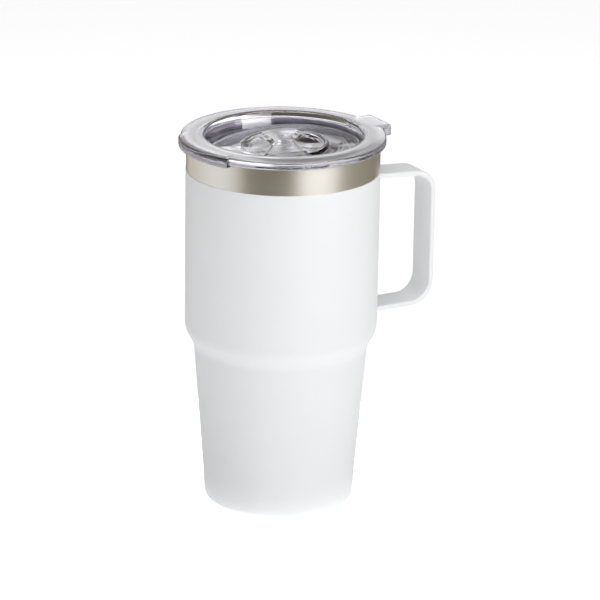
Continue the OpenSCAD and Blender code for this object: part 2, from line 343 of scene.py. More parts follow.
def baked_powder_coat(base):
    """Polyester powder, sprayed and baked: a satin skin with a fine orange peel that breaks highlights."""
    material, tree = new_material("polyester_powder_sprayed_and_baked")
    peel_size = 0.9 * MM        # the real peel is 0.3 mm to 1 mm across
    cloud_size = 18 * MM
    place = add_node(tree, "ShaderNodeTexCoord").outputs["Object"]
    peel = add_node(tree, "ShaderNodeTexNoise", {
        "Vector": place, "Scale": 1 / peel_size, "Detail": 3.0}).outputs["Fac"]
    cloud = add_node(tree, "ShaderNodeTexNoise", {
        "Vector": place, "Scale": 1 / cloud_size, "Detail": 2.0}).outputs["Fac"]
    dark, pale = shades(base, 0.975, 1.0)
    tint = add_node(tree, "ShaderNodeMix", {0: cloud, 6: dark, 7: pale}, data_type="RGBA")
    gloss = add_node(tree, "ShaderNodeMapRange", {
        "Value": peel, "From Min": 0.3, "From Max": 0.7, "To Min": 0.40, "To Max": 0.52})
    bump = add_node(tree, "ShaderNodeBump", {"Height": peel, "Distance": 0.006 * MM, "Strength": 0.6})
    skin = add_node(tree, "ShaderNodeBsdfPrincipled", {
        "Base Color": tint.outputs[2], "Roughness": gloss.outputs["Result"], "IOR": 1.5,
        "Normal": bump.outputs["Normal"]})
    add_node(tree, "ShaderNodeOutputMaterial", {"Surface": skin.outputs["BSDF"]})
    return material


def brushed_steel(name, base, pitch, low, high, brush):
    """Stainless steel, brushed or spun round the axis: fine level lines, a pitch apart, that draw highlights
    up and down. low and high are its roughness, and brush its anisotropy."""
    material, tree = new_material(name)
    place = add_node(tree, "ShaderNodeTexCoord").outputs["Object"]
    level = add_node(tree, "ShaderNodeMapping", {
        "Vector": place, "Scale": (0.6, 0.6, 1 / pitch)})      # a line fades over about a metre
    lines = add_node(tree, "ShaderNodeTexNoise", {
        "Vector": level.outputs["Vector"], "Scale": 1.0, "Detail": 3.0}).outputs["Fac"]
    dark, pale = shades(base, 0.98, 1.015)
    tint = add_node(tree, "ShaderNodeMix", {0: lines, 6: dark, 7: pale}, data_type="RGBA")
    gloss = add_node(tree, "ShaderNodeMapRange", {
        "Value": lines, "From Min": 0.3, "From Max": 0.7, "To Min": low, "To Max": high})
    bump = add_node(tree, "ShaderNodeBump", {"Height": lines, "Distance": 0.0005 * MM, "Strength": 0.5})
    round_axis = add_node(tree, "ShaderNodeTangent", direction_type="RADIAL", axis="Z")
    metal = add_node(tree, "ShaderNodeBsdfPrincipled", {
        "Base Color": tint.outputs[2], "Metallic": 1.0, "Roughness": gloss.outputs["Result"],
        "Anisotropic": brush, "Anisotropic Rotation": 0.25, "Tangent": round_axis.outputs["Tangent"],
        "Normal": bump.outputs["Normal"]})
    add_node(tree, "ShaderNodeOutputMaterial", {"Surface": metal.outputs["BSDF"]})
    return material


def rolled_foil():
    """Aluminium foil, rolled and wrapped by hand: bright, with soft creases."""
    material, tree = new_material("aluminium_foil_rolled")
    crease_size = 7 * MM
    place = add_node(tree, "ShaderNodeTexCoord").outputs["Object"]
    crease = add_node(tree, "ShaderNodeTexNoise", {
        "Vector": place, "Scale": 1 / crease_size, "Detail": 4.0}).outputs["Fac"]
    gloss = add_node(tree, "ShaderNodeMapRange", {
        "Value": crease, "From Min": 0.3, "From Max": 0.7, "To Min": 0.12, "To Max": 0.28})
    bump = add_node(tree, "ShaderNodeBump", {"Height": crease, "Distance": 0.3 * MM, "Strength": 1.0})
    metal = add_node(tree, "ShaderNodeBsdfPrincipled", {
        "Base Color": (*linear(0xE2E3E5), 1), "Metallic": 1.0, "Roughness": gloss.outputs["Result"],
        "Normal": bump.outputs["Normal"]})
    add_node(tree, "ShaderNodeOutputMaterial", {"Surface": metal.outputs["BSDF"]})
    return material


def fused_solder():
    """Glass solder, melted in a vacuum furnace: a dark bead with a dull gloss."""
    material, tree = new_material("solder_glass_fused")
    pit_size = 0.6 * MM
    place = add_node(tree, "ShaderNodeTexCoord").outputs["Object"]
    pits = add_node(tree, "ShaderNodeTexNoise", {
        "Vector": place, "Scale": 1 / pit_size, "Detail": 3.0}).outputs["Fac"]
    tint = add_node(tree, "ShaderNodeMix", {
        0: pits, 6: (*linear(0x4A4C50), 1), 7: (*linear(0x6A6C70), 1)}, data_type="RGBA")
    gloss = add_node(tree, "ShaderNodeMapRange", {
        "Value": pits, "From Min": 0.3, "From Max": 0.7, "To Min": 0.30, "To Max": 0.50})
    bump = add_node(tree, "ShaderNodeBump", {"Height": pits, "Distance": 0.03 * MM, "Strength": 1.0})
    bead = add_node(tree, "ShaderNodeBsdfPrincipled", {
        "Base Color": tint.outputs[2], "Roughness": gloss.outputs["Result"], "IOR": 1.6,
        "Normal": bump.outputs["Normal"]})
    add_node(tree, "ShaderNodeOutputMaterial", {"Surface": bead.outputs["BSDF"]})
    return material


def sintered_getter():
    """Zirconium alloy powder, pressed and sintered: a matt grey pellet with a sandy grain."""
    material, tree = new_material("zirconium_alloy_sintered")
    grit_size = 0.25 * MM
    place = add_node(tree, "ShaderNodeTexCoord").outputs["Object"]
    grit = add_node(tree, "ShaderNodeTexNoise", {
        "Vector": place, "Scale": 1 / grit_size, "Detail": 2.0}).outputs["Fac"]
    tint = add_node(tree, "ShaderNodeMix", {
        0: grit, 6: (*linear(0x5E5F61), 1), 7: (*linear(0x8A8B8D), 1)}, data_type="RGBA")
    gloss = add_node(tree, "ShaderNodeMapRange", {
        "Value": grit, "From Min": 0.3, "From Max": 0.7, "To Min": 0.55, "To Max": 0.75})
    bump = add_node(tree, "ShaderNodeBump", {"Height": grit, "Distance": 0.05 * MM, "Strength": 1.0})
    metal = add_node(tree, "ShaderNodeBsdfPrincipled", {
        "Base Color": tint.outputs[2], "Metallic": 1.0, "Roughness": gloss.outputs["Result"],
        "Normal": bump.outputs["Normal"]})
    add_node(tree, "ShaderNodeOutputMaterial", {"Surface": metal.outputs["BSDF"]})
    return material


def clear_copolyester(base):
    """Copolyester, injection moulded and polished in the tool: clear as glass, with a lilac-grey cast
    through its thickness, faint waves where it flowed, rings left by the turned tool, and a rim that use
    has scuffed."""
    material, tree = new_material("copolyester_clear_moulded")
    flow_size, tool_pitch = 9 * MM, 1.1 * MM      # real tool rings are finer; this is as fine as shows
    scuff_radii, scuff_depths = (36.2 * MM, 38.5 * MM), (1.2 * MM, 0.5 * MM)      # where the scuffs set in
    place = add_node(tree, "ShaderNodeTexCoord").outputs["Object"]
    flow = add_node(tree, "ShaderNodeTexNoise", {
        "Vector": place, "Scale": 1 / flow_size, "Detail": 1.0}).outputs["Fac"]
    flat = add_node(tree, "ShaderNodeVectorMath", {0: place, 1: (1.0, 1.0, 0.0)}, operation="MULTIPLY")
    radius = add_node(tree, "ShaderNodeVectorMath", {0: flat.outputs["Vector"]}, operation="LENGTH")
    rings = add_node(tree, "ShaderNodeTexNoise", {
        "W": radius.outputs["Value"], "Scale": 1 / tool_pitch, "Detail": 2.0},
        noise_dimensions="1D").outputs["Fac"]
    height = add_node(tree, "ShaderNodeSeparateXYZ", {"Vector": place}).outputs["Z"]
    outside = add_node(tree, "ShaderNodeMapRange", {
        "Value": radius.outputs["Value"], "From Min": scuff_radii[0], "From Max": scuff_radii[1]})
    on_top = add_node(tree, "ShaderNodeMapRange", {
        "Value": height, "From Min": LID[1].z - scuff_depths[0], "From Max": LID[1].z - scuff_depths[1]})
    rim = add_node(tree, "ShaderNodeMath", {
        0: outside.outputs["Result"], 1: on_top.outputs["Result"]}, operation="MULTIPLY").outputs["Value"]
    rim_haze = add_node(tree, "ShaderNodeMapRange", {"Value": rim, "To Min": 0.015, "To Max": 0.12})
    clarity = add_node(tree, "ShaderNodeMapRange", {"Value": rim, "To Min": 1.0, "To Max": 0.62})
    wave = add_node(tree, "ShaderNodeBump", {"Height": flow, "Distance": 0.05 * MM, "Strength": 1.0})
    bump = add_node(tree, "ShaderNodeBump", {
        "Height": rings, "Distance": 0.035 * MM, "Strength": 1.0, "Normal": wave.outputs["Normal"]})
    plastic = add_node(tree, "ShaderNodeBsdfPrincipled", {
        "Base Color": (*base, 1), "Roughness": rim_haze.outputs["Result"], "IOR": 1.55,
        "Transmission Weight": clarity.outputs["Result"], "Normal": bump.outputs["Normal"]})
    add_node(tree, "ShaderNodeOutputMaterial", {"Surface": plastic.outputs["BSDF"]})
    return material


def moulded_silicone(base):
    """Silicone rubber, pressed in a matt mould: milky, and soft in its highlights."""
    material, tree = new_material("silicone_rubber_moulded")
    bloom_size = 0.5 * MM
    place = add_node(tree, "ShaderNodeTexCoord").outputs["Object"]
    bloom = add_node(tree, "ShaderNodeTexNoise", {
        "Vector": place, "Scale": 1 / bloom_size, "Detail": 2.0}).outputs["Fac"]
    gloss = add_node(tree, "ShaderNodeMapRange", {
        "Value": bloom, "From Min": 0.3, "From Max": 0.7, "To Min": 0.42, "To Max": 0.58})
    bump = add_node(tree, "ShaderNodeBump", {"Height": bloom, "Distance": 0.01 * MM, "Strength": 1.0})
    rubber = add_node(tree, "ShaderNodeBsdfPrincipled", {
        "Base Color": (*base, 1), "Roughness": gloss.outputs["Result"], "IOR": 1.41,
        "Subsurface Weight": 0.35, "Subsurface Radius": (1.2 * MM, 1.1 * MM, 1.0 * MM),
        "Subsurface Scale": 1.0, "Normal": bump.outputs["Normal"]})
    add_node(tree, "ShaderNodeOutputMaterial", {"Surface": rubber.outputs["BSDF"]})
    return material


def clear_silicone(base):
    """Clear silicone rubber, moulded: it lets light through, with a soft bloom on its skin."""
    material, tree = new_material("silicone_rubber_clear_moulded")
    bloom_size = 0.5 * MM
    place = add_node(tree, "ShaderNodeTexCoord").outputs["Object"]
    bloom = add_node(tree, "ShaderNodeTexNoise", {
        "Vector": place, "Scale": 1 / bloom_size, "Detail": 2.0}).outputs["Fac"]
    gloss = add_node(tree, "ShaderNodeMapRange", {
        "Value": bloom, "From Min": 0.3, "From Max": 0.7, "To Min": 0.18, "To Max": 0.28})
    rubber = add_node(tree, "ShaderNodeBsdfPrincipled", {
        "Base Color": (*base, 1), "Roughness": gloss.outputs["Result"], "IOR": 1.41,
        "Transmission Weight": 0.9})
    add_node(tree, "ShaderNodeOutputMaterial", {"Surface": rubber.outputs["BSDF"]})
    return material


def moulded_polypropylene(base):
    """Natural polypropylene, injection moulded: waxy and slightly milky."""
    material, tree = new_material("polypropylene_moulded")
    grain_size = 0.8 * MM
    place = add_node(tree, "ShaderNodeTexCoord").outputs["Object"]
    grain = add_node(tree, "ShaderNodeTexNoise", {
        "Vector": place, "Scale": 1 / grain_size, "Detail": 2.0}).outputs["Fac"]
    gloss = add_node(tree, "ShaderNodeMapRange", {
        "Value": grain, "From Min": 0.3, "From Max": 0.7, "To Min": 0.32, "To Max": 0.42})
    bump = add_node(tree, "ShaderNodeBump", {"Height": grain, "Distance": 0.008 * MM, "Strength": 1.0})
    plastic = add_node(tree, "ShaderNodeBsdfPrincipled", {
        "Base Color": (*base, 1), "Roughness": gloss.outputs["Result"], "IOR": 1.49,
        "Subsurface Weight": 0.2, "Subsurface Radius": (1.0 * MM, 1.0 * MM, 1.0 * MM),
        "Subsurface Scale": 1.0, "Normal": bump.outputs["Normal"]})
    add_node(tree, "ShaderNodeOutputMaterial", {"Surface": plastic.outputs["BSDF"]})
    return material


def studio_paper(name, base, glow):
    """Matt white paper over a light table, whose glow lifts it to an even white."""
    material, tree = new_material(name)
    fibre_size = 1.5 * MM
    place = add_node(tree, "ShaderNodeTexCoord").outputs["Object"]
    fibre = add_node(tree, "ShaderNodeTexNoise", {
        "Vector": place, "Scale": 1 / fibre_size, "Detail": 2.0}).outputs["Fac"]
    dark, pale = shades(base, 0.99, 1.0)
    tint = add_node(tree, "ShaderNodeMix", {0: fibre, 6: dark, 7: pale}, data_type="RGBA")
    paper = add_node(tree, "ShaderNodeBsdfPrincipled", {
        "Base Color": tint.outputs[2], "Specular IOR Level": 0.0, "Roughness": 0.9,
        "Emission Color": (1, 1, 1, 1), "Emission Strength": glow})
    add_node(tree, "ShaderNodeOutputMaterial", {"Surface": paper.outputs["BSDF"]})
    return material


def shared(name, make, *values, **settings):
    """A material made once and used by every piece of its kind."""
    return bpy.data.materials.get(name) or make(*values, **settings)


def coat_finish(scene):
    return shared("polyester_powder_sprayed_and_baked", baked_powder_coat, scene.mug_finishes.coat)


def liner_finish(scene):
    name = "stainless_steel_spun"
    return shared(name, brushed_steel, name, scene.mug_finishes.liner,
                  pitch=0.5 * MM, low=0.22, high=0.32, brush=0.4)


def clear_finish(scene):
    return shared("copolyester_clear_moulded", clear_copolyester, scene.mug_finishes.clear)


def seal_finish(scene):
    return shared("silicone_rubber_moulded", moulded_silicone, scene.mug_finishes.seal)


def clear_seal_finish(scene):
    return shared("silicone_rubber_clear_moulded", clear_silicone, scene.mug_finishes.seal)


# ---- the steel body ------------------------------------------------------------------------

def wall_corners(sizes, inset, top):
    """The outer wall from the foot to a height, set in from the painted face."""
    bend = sizes.shoulder_bend
    return [
        (sizes.foot_radius - sizes.foot_corner, inset),
        (sizes.foot_radius - inset, inset, sizes.foot_corner - inset),
        (sizes.waist_radius - inset, sizes.waist_height, bend + inset),
        (sizes.body_radius - inset, sizes.waist_height + sizes.shoulder_height, bend - inset),
        (sizes.body_radius - inset, top)]


def liner_corners(sizes, inset, base, bore):
    """The liner from the axis at its floor to the bore of the mouth, set in from the painted face."""
    lean = (sizes.waist_radius - sizes.foot_radius) / sizes.waist_height
    neck, neck_rise = sizes.body_height - 20 * MM, 7 * MM      # where the liner closes in on the mouth
    bend, floor_bend, neck_bend = sizes.shoulder_bend, 7 * MM, 4 * MM
    return [
        (0, base),
        (sizes.foot_radius + lean * base - inset, base, floor_bend),
        (sizes.waist_radius - inset, sizes.waist_height, bend + inset),
        (sizes.body_radius - inset, sizes.waist_height + sizes.shoulder_height, bend - inset),
        (sizes.body_radius - inset, neck, neck_bend),
        (bore, neck + neck_rise, neck_bend)]


def wall_radius(sizes, inset, height):
    """Radius of the outer wall at a height."""
    points = rounded(wall_corners(sizes, inset, sizes.body_height))[1:]
    for low, high in zip(points, points[1:]):
        if low.y <= height <= high.y and high.y > low.y:
            return low.x + (high.x - low.x) * (height - low.y) / (high.y - low.y)
    return sizes.body_radius - inset


class TRAVELMUG_OT_steel_body(bpy.types.Operator):
    """Make the outer shell, the liner, the foot and the sealed parts between the walls"""
    bl_idname = "travelmug.steel_body"
    bl_label = "Steel Body"

    def execute(self, context):
        sizes, scene = context.scene.mug_body, context.scene
        edge = 0.5 * MM
        top = sizes.body_height
        steel_radius = sizes.body_radius - sizes.coat
        bore = steel_radius - 2 * sizes.sheet
        wet_face = sizes.coat + 2 * sizes.sheet + sizes.gap
        dry_face = wet_face - sizes.sheet

        name = "stainless_steel_brushed"
        band = shared(name, brushed_steel, name, scene.mug_finishes.band,
                      pitch=0.35 * MM, low=0.27, high=0.32, brush=0.7)
        outer = wall_corners(sizes, sizes.coat, top)
        outer[-1] = (*outer[-1], edge)
        inner = wall_corners(sizes, sizes.coat + sizes.sheet, top)
        make_piece("steel_shell", turned(rounded(outer + inner[::-1])), band, "mug", "brushed_band",
                   "outer_shell")

        wet = liner_corners(sizes, wet_face, sizes.floor, bore) + [
            (bore, top, edge), (bore + sizes.sheet, top)]
        dry = liner_corners(sizes, dry_face, sizes.floor - sizes.sheet, bore + sizes.sheet)
        make_piece("steel_liner", turned(rounded(wet + dry[::-1])), liner_finish(scene), "mug",
                   "liner_steel", "inner_liner")

        flat = sizes.foot_radius - sizes.foot_corner
        ring, seam, recess = 27.4 * MM, 0.8 * MM, 2.2 * MM
        dimple, port = 4.5 * MM, 1 * MM         # radii of the dimple and of the port that it holds
        bend, tight = 0.6 * MM, 0.4 * MM
        inside, ceiling = recess + sizes.sheet, CAP[1].z
        make_piece("foot_cap", turned(rounded([
            (flat, CAP[0].z, 0.2 * MM), (flat, seam), (ring + 0.4 * MM, seam, tight),
            (ring - 1.1 * MM, inside, bend), (dimple + 0.5 * MM, inside, tight),
            (dimple - 0.5 * MM, ceiling, tight), (port, ceiling), (port, ceiling - sizes.sheet),
            (dimple - 1 * MM, ceiling - sizes.sheet, tight), (dimple, recess, tight),
            (ring - 1.6 * MM, recess, bend), (ring, CAP[0].z, bend)])),
            liner_finish(scene), "mug", "liner_steel", "base_cap")
        disc = DISC[1].x
        make_piece("foot_disc", turned(rounded([
            (0, DISC[1].z), (disc, DISC[1].z), (disc, DISC[0].z, 0.25 * MM), (0, DISC[0].z)])),
            liner_finish(scene), "mug", "liner_steel", "base_disc")

        finish_node("foil_wrap", rolled_foil())
        finish_node("vacuum_bead", fused_solder())
        finish_node("getter", sintered_getter())
        return {"FINISHED"}


class TRAVELMUG_OT_powder_coat(bpy.types.Operator):
    """Make the baked coat over the outer shell, up to the bare band"""
    bl_idname = "travelmug.powder_coat"
    bl_label = "Powder Coat"

    def execute(self, context):
        sizes = context.scene.mug_body
        outer = wall_corners(sizes, 0.0, sizes.paint_height)
        outer[-1] = (*outer[-1], 0.12 * MM)
        inner = wall_corners(sizes, sizes.coat, sizes.paint_height)
        make_piece("body_coat", turned(rounded(outer + inner[::-1])), coat_finish(context.scene), "mug",
                   "powder_coat", "powder_coat")
        return {"FINISHED"}


# ---- the handle ----------------------------------------------------------------------------

class TRAVELMUG_OT_handle(bpy.types.Operator):
    """Make the flat strap, bent to a D and welded to the body"""
    bl_idname = "travelmug.handle"
    bl_label = "Strap Handle"

    def execute(self, context):
        sizes, mug = context.scene.mug_handle, context.scene.mug_body
        half = sizes.thickness / 2
        start = mug.body_radius - 6 * MM        # the line starts inside the body
        sink = 1.6 * MM                         # how deep the strap's ends go into the wall
        fall = math.tan(sizes.slope)
        top = sizes.top - half
        line = rounded([
            (start, top + (mug.body_radius - start) * fall),
            (sizes.reach - half, top - (sizes.reach - half - mug.body_radius) * fall, sizes.bend_top - half),
            (sizes.reach - half, sizes.bottom + half, sizes.bend_bottom - half),
            (start, sizes.bottom + half)], 20)

        # the middle line from wall to wall, with more points near the welds
        near = [0.0, 0.25, 0.5, 0.8, 1.2, 1.8, 3.0, 6.0]      # mm from a strap's end
        ends = []
        for point, drop in ((line[0], fall), (line[-1], 0.0)):
            wall = wall_radius(mug, 0.0, point.y)
            reaches = [wall - sink + step * MM for step in near]
            ends.append([Vector((x, point.y - (x - start) * drop)) for x in reaches])
        path = ends[0] + line[1:-1] + ends[1][::-1]

        wing = sizes.width / 2
        bite, spread = 0.12 * MM, 0.7       # how far the weld goes into the coat, and its height to its width
        across = rounded([(-wing, -half, sizes.edge), (wing, -half, sizes.edge),
                          (wing, half, sizes.edge), (-wing, half, sizes.edge)], 5)
        loops = []
        for i, point in enumerate(path):
            before, after = path[max(i - 1, 0)], path[min(i + 1, len(path) - 1)]
            along = (after - before).normalized()
            out = Vector((-along.y, along.x))
            loop = []
            for side, lift in across:
                skin = mug.body_radius - math.sqrt(max(mug.body_radius ** 2 - side ** 2, 0.0))
                wall = wall_radius(mug, 0.0, point.y + out.y * lift) - skin
                at = point + out * lift
                reach = at.x - wall
                swell = sizes.weld * max(0.0, 1 - reach / sink) ** 2
                at = at + out * math.copysign(swell, lift) * spread
                wide = side + math.copysign(swell, side) * abs(side) / wing
                loop.append(Vector((max(at.x, wall - bite), wide, at.y)))
            loops.append(loop)
        first = sum(loops[0], Vector()) / len(loops[0])
        last = sum(loops[-1], Vector()) / len(loops[-1])
        make_piece("strap", looped([[first]] + loops + [[last]], closed=False), coat_finish(context.scene),
                   "mug", "powder_coat", "handle_strap")
        return {"FINISHED"}


# ---- the lid -------------------------------------------------------------------------------

def floor_frame():
    """Where the dial turns: the middle of the well's sloping floor, with Z along the dial's axis."""
    axis = Vector(DIAL_JOINT["axis"])
    slope = math.atan2(-axis.x, axis.z)
    return Matrix.Translation(Vector(DIAL_JOINT["pos_m"])) @ Matrix.Rotation(-slope, 4, "Y")


def curved_slot(radius, width, half_angle, low, high, frame_matrix):
    """A closed mesh of a curved slot about the dial's axis, on the side of the sip lip."""
    points = []
    middle, arc_steps, end_steps = math.pi, 24, 10
    for k in range(arc_steps + 1):
        points.append(on_circle(radius + width / 2, middle - half_angle + 2 * half_angle * k / arc_steps))
    centre = on_circle(radius, middle + half_angle)
    for k in range(1, end_steps):
        points.append(centre + on_circle(width / 2, middle + half_angle + math.pi * k / end_steps))
    for k in range(arc_steps + 1):
        points.append(on_circle(radius - width / 2, middle + half_angle - 2 * half_angle * k / arc_steps))
    centre = on_circle(radius, middle - half_angle)
    for k in range(1, end_steps):
        points.append(centre + on_circle(width / 2, middle - half_angle + math.pi + math.pi * k / end_steps))
    return prism(points, low, high, frame_matrix)


def prism(points, low, high, frame_matrix):
    """A closed mesh of a flat outline between two levels."""
    mesh = bmesh.new()
    rows = [[mesh.verts.new(frame_matrix @ Vector((p.x, p.y, z))) for p in points] for z in (low, high)]
    join_loops(mesh, *rows)
    mesh.faces.new(rows[0][::-1])
    mesh.faces.new(rows[1])
    bmesh.ops.recalc_face_normals(mesh, faces=mesh.faces)
    return mesh


def outline_normals(points):
    """Outward directions of a closed outline that runs anticlockwise."""
    normals = []
    for i in range(len(points)):
        along = points[(i + 1) % len(points)] - points[i - 1]
        normals.append(Vector((along.y, -along.x)).normalized())
    return normals


def flange_plan(sizes):
    """The lid's outer edge seen from above: a circle with the lift tab and the sip lip."""
    half, root_bend, corner_bend = sizes.tab_width / 2, 1.2 * MM, 2 * MM
    base = math.degrees(math.asin(half / sizes.radius))
    foot = sizes.radius * math.cos(math.radians(base))
    corners = [(foot, -half, root_bend), (sizes.tab_reach, -half, corner_bend),
               (sizes.tab_reach, half, corner_bend), (foot, half, root_bend)]
    lip, soft = math.degrees(sizes.lip_angle), 0.6      # soft: degrees to each side that the lip's ends take
    step, fine_step, clear_of_tab = 1.5, 0.3, 2.2
    turn = base + clear_of_tab
    while turn < 360 - base - clear_of_tab:
        off = abs(turn - 180)
        share = blend(lip - soft, lip + soft, off)
        corners.append(on_circle(sizes.lip_reach + (sizes.radius - sizes.lip_reach) * share,
                                 math.radians(turn)).to_2d())
        turn += fine_step if abs(off - lip) < 2 * soft else step
    return rounded(corners, 8)


def lid_outside(sizes, low, hang, edge, normal):
    """The lid's section at one point of its edge: out under the flange, round the rim and over the crown."""
    turn = abs(math.degrees(math.atan2(edge.y, edge.x)))
    way = edge.normalized()
    lip_from = 180 - math.degrees(sizes.lip_angle)
    in_lip = blend(lip_from - 0.5, lip_from + 0.5, turn)
    in_tab = blend(sizes.radius + 0.2 * MM, sizes.radius + 1.6 * MM, edge.length) if turn < 90 else 0.0
    bottom = low - max(sizes.lip_drop * in_lip, sizes.tab_drop * in_tab)
    rim = sizes.top - (0.5 - 0.2 * in_lip - 0.35 * in_tab) * MM      # below the crown, least on the tab
    rim_round = (1.0 + 1.2 * in_lip) * MM
    points = [(way * (sizes.skirt_radius + 0.3 * MM), low), (way * hang, low),
              (way * (hang + 0.25 * MM), bottom)]
    under, side, over = (1.9 * MM, bottom), (0, bottom), (0, rim)      # each: how far in, and its height
    inward = (4 * MM, rim + 0.3 * MM)
    for s, z in arc(under, side, over, 0.6 * MM, 4) + arc(side, over, inward, rim_round, 7):
        points.append((edge - normal * s, z))
    start, start_z = points[-1]
    crown = way * (sizes.radius - 4.5 * MM)
    for share in (0.3, 0.65, 1.0):
        points.append((start.lerp(crown, share),
                       start_z + (sizes.top - start_z) * math.sin(math.pi / 2 * share)))
    return [Vector((*point, z)) for point, z in points]


def lid_inside(sizes, low, pin_bore, turn):
    """The lid's section in one direction: down the well, over its floor to the pin's bore, back under the
    floor and round the skirt."""
    place = floor_frame()
    axis, floor_z = DIAL_JOINT["axis"], DIAL_JOINT["pos_m"][2]
    share = -axis[0] / axis[2] * math.cos(turn)      # how fast the floor rises outwards
    top, wall = sizes.top, sizes.wall

    def wall_at(z, outside=0.0):
        return sizes.well_radius + outside - WELL_DRAFT * (top - z), z

    def meets(level, outside=0.0):
        """Where the well's wall meets a plane that slopes like the floor and has this level on the axis."""
        radius = (sizes.well_radius + outside - WELL_DRAFT * (top - level)) / (1 - WELL_DRAFT * share)
        return radius, level + radius * share

    def sloped(level, radius):
        return radius, level + radius * share

    mouth = (sizes.well_radius, top - 0.05 * MM)
    floor_edge = meets(floor_z)
    middle = wall_at((floor_edge[1] + top) / 2)
    points = [(sizes.well_radius + 3.2 * MM, top)]
    points += arc((sizes.well_radius + 3 * MM, top), mouth, floor_edge, 1.5 * MM, 7)
    points.append(middle)
    points += arc(middle, floor_edge, sloped(floor_z, floor_edge[0] - 6 * MM), 0.8 * MM, 5)
    floor_rings = [24 * MM, 14 * MM, 7 * MM]
    points += [sloped(floor_z, radius) for radius in floor_rings]
    ring = [on_circle(radius, turn, z) for radius, z in points]
    ring += [place @ on_circle(pin_bore, turn, 0), place @ on_circle(pin_bore, turn, -LID_FLOOR)]

    under = floor_z - LID_FLOOR * math.hypot(1, axis[0] / axis[2])
    corner = meets(under, wall)
    web = wall_at(low + 0.8 * MM, wall)
    skirt, skirt_in, skirt_low = sizes.skirt_radius, sizes.skirt_radius - wall, LID[0].z
    web_end, skirt_end, skirt_face = (skirt_in, web[1]), (skirt_in, skirt_low), (skirt, skirt_low)
    groove = skirt - GROOVE
    points = [sloped(under, radius) for radius in floor_rings[::-1]]
    points += arc(sloped(under, corner[0] - 6 * MM), corner, web, 0.6 * MM, 4)
    points += arc(corner, web, web_end, 0.6 * MM, 4)
    points += arc(web, web_end, skirt_end, 0.6 * MM, 4)
    points += arc(web_end, skirt_end, skirt_face, 0.5 * MM, 4)
    points += arc(skirt_end, skirt_face, (skirt, SEAL[0].z), 0.5 * MM, 4)
    points += [(skirt, SEAL[0].z), (groove, SEAL[0].z), (groove, SEAL[1].z), (skirt, SEAL[1].z)]
    points += arc((skirt, SEAL[1].z), (skirt, low), (skirt + 1 * MM, low), 0.25 * MM, 3)
    return ring + [on_circle(radius, turn, z) for radius, z in points]


class TRAVELMUG_OT_lid(bpy.types.Operator):
    """Make the clear lid: flange, lift tab, sip lip, well with its sloping floor, and skirt"""
    bl_idname = "travelmug.lid"
    bl_label = "Clear Lid"

    def execute(self, context):
        sizes, mug, dial = context.scene.mug_lid, context.scene.mug_body, context.scene.mug_dial
        low = mug.body_height + REST_GAP
        hang = mug.body_radius - mug.coat + 0.5 * MM
        plan = flange_plan(sizes)
        sections = []
        for edge, normal in zip(plan, outline_normals(plan)):
            turn = math.atan2(edge.y, edge.x)
            sections.append(lid_outside(sizes, low, hang, edge, normal)
                            + lid_inside(sizes, low, dial.pin + REST_GAP, turn))
        lid = make_piece("clear_lid", looped(zip(*sections)), clear_finish(context.scene), "lid",
                         "clear_plastic", "lid_body")
        below, above = -2 * LID_FLOOR, 1 * MM       # well past both faces of the floor
        cut(lid, curved_slot(dial.slot_radius, dial.slot_width, dial.slot_angle, below, above, floor_frame()))
        return {"FINISHED"}


class TRAVELMUG_OT_lid_seal(bpy.types.Operator):
    """Make the silicone ring in the skirt's groove, with its two lips"""
    bl_idname = "travelmug.lid_seal"
    bl_label = "Lid Seal"

    def execute(self, context):
        sizes = context.scene.mug_lid
        root = sizes.skirt_radius - GROOVE
        face = sizes.skirt_radius
        tip = SEAL[1].y
        low, high = SEAL[0].z, SEAL[1].z
        make_piece("lid_seal", turned(rounded([
            (root, low), (face, low, 0.1 * MM), (face, low + 0.3 * MM, 0.2 * MM),
            (tip, low + 0.85 * MM, 0.12 * MM), (tip, low + 1.2 * MM, 0.12 * MM),
            (face, low + 1.15 * MM, 0.15 * MM), (face, low + 1.85 * MM, 0.15 * MM),
            (tip, low + 2.35 * MM, 0.12 * MM), (tip, low + 2.7 * MM, 0.12 * MM),
            (face, low + 2.65 * MM, 0.15 * MM), (face, high, 0.1 * MM), (root, high)], 3)),
            seal_finish(context.scene), "lid", "silicone", "lid_gasket")
        return {"FINISHED"}


# ---- the dial ------------------------------------------------------------------------------

def dial_plan(sizes):
    """The dial seen from above: a round hub with one wing, its corners rounded."""
    tip, base = math.degrees(sizes.wing_angle) - 0.4, math.degrees(sizes.wing_angle) + 2.2
    root_bend, tip_bend = 1.2 * MM, 2 * MM
    corners = []
    turn = 180 + base + 4
    while turn < 540 - base - 3:
        corners.append(on_circle(sizes.radius, math.radians(turn)))
        turn += 1
    corners.append((*on_circle(sizes.radius, math.radians(180 - base))[:2], root_bend))
    corners.append((*on_circle(sizes.wing_radius, math.radians(180 - tip))[:2], tip_bend))
    turn = 180 - tip + 5
    while turn < 180 + tip - 4:
        corners.append(on_circle(sizes.wing_radius, math.radians(turn)))
        turn += 2
    corners.append((*on_circle(sizes.wing_radius, math.radians(180 + tip))[:2], tip_bend))
    corners.append((*on_circle(sizes.radius, math.radians(180 + base))[:2], root_bend))
    return rounded(corners, 8)


